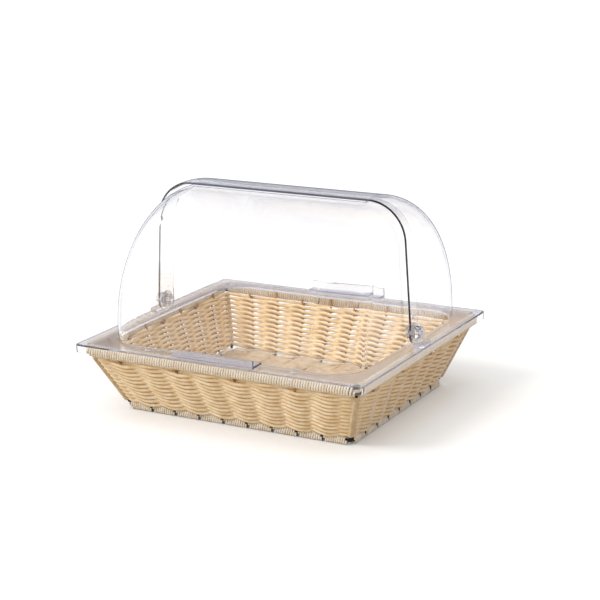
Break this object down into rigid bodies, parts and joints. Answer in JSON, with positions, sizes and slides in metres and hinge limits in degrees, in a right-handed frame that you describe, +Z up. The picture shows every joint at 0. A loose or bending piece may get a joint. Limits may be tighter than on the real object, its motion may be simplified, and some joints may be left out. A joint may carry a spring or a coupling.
{
  "type": "countertop bread display bin",
  "caption": "Woven bread basket with a clear cover ring and two clear half-round shells that roll open about one cross axis.",
  "frame": {"origin": "on the table under the middle of the bin", "axes": "+X along the shells' turning axis, to the right of someone who stands at the front; -Y to the front; +Z up"},
  "size_m": [0.38, 0.34, 0.2603],
  "materials": {
    "weave": "satin round strand, pale straw",
    "wrap": "satin round strand, pale straw, wound close",
    "stake": "satin round cane, straw",
    "wire": "dark drawn steel wire",
    "clear": "clear moulded polycarbonate, polished",
    "hinge": "clear moulded polycarbonate",
    "washer": "translucent nylon"
  },
  "bodies": {
    "basket": {"base_wire": "wire", "floor_stakes": "stake", "floor_weave": "weave", "front_base_wrap": "wrap", "front_left_post": "wire", "front_left_weave": "weave", "front_right_post": "wire", "front_right_weave": "weave", "front_rim_wrap": "wrap", "front_stakes": "stake", "front_weave": "weave", "left_base_wrap": "wrap", "left_rim_wrap": "wrap", "left_stakes": "stake", "left_weave": "weave", "rear_base_wrap": "wrap", "rear_left_post": "wire", "rear_left_weave": "weave", "rear_right_post": "wire", "rear_right_weave": "weave", "rear_rim_wrap": "wrap", "rear_stakes": "stake", "rear_weave": "weave", "right_base_wrap": "wrap", "right_rim_wrap": "wrap", "right_stakes": "stake", "right_weave": "weave", "rim_wire_lower": "wire", "rim_wire_upper": "wire"},
    "cover": {"cover_frame": "clear", "front_left_pad": "clear", "front_left_rib": "clear", "front_right_pad": "clear", "front_right_rib": "clear", "rear_left_pad": "clear", "rear_left_rib": "clear", "rear_right_pad": "clear", "rear_right_rib": "clear", "left_hinge_post": "clear", "left_pin": "hinge", "left_cap": "hinge", "left_inner_washer": "washer", "left_outer_washer": "washer", "right_hinge_post": "clear", "right_pin": "hinge", "right_cap": "hinge", "right_inner_washer": "washer", "right_outer_washer": "washer"},
    "front_half": {"front_shell": "clear", "front_grip": "clear"},
    "rear_half": {"rear_shell": "clear", "rear_grip": "clear", "rear_edge_strip": "clear"}
  },
  "joints": [
    {"name": "cover_lift", "type": "slide", "parent": "basket", "child": "cover", "axis": [0, 0, 1], "range_m": [0, 0.12]},
    {"name": "front_open", "type": "hinge", "parent": "cover", "child": "front_half", "pos_m": [0, 0, 0.1045], "axis": [-1, 0, 0], "range_deg": [0, 42]},
    {"name": "rear_open", "type": "hinge", "parent": "cover", "child": "rear_half", "pos_m": [0, 0, 0.1045], "axis": [1, 0, 0], "range_deg": [0, 42]}
  ]
}
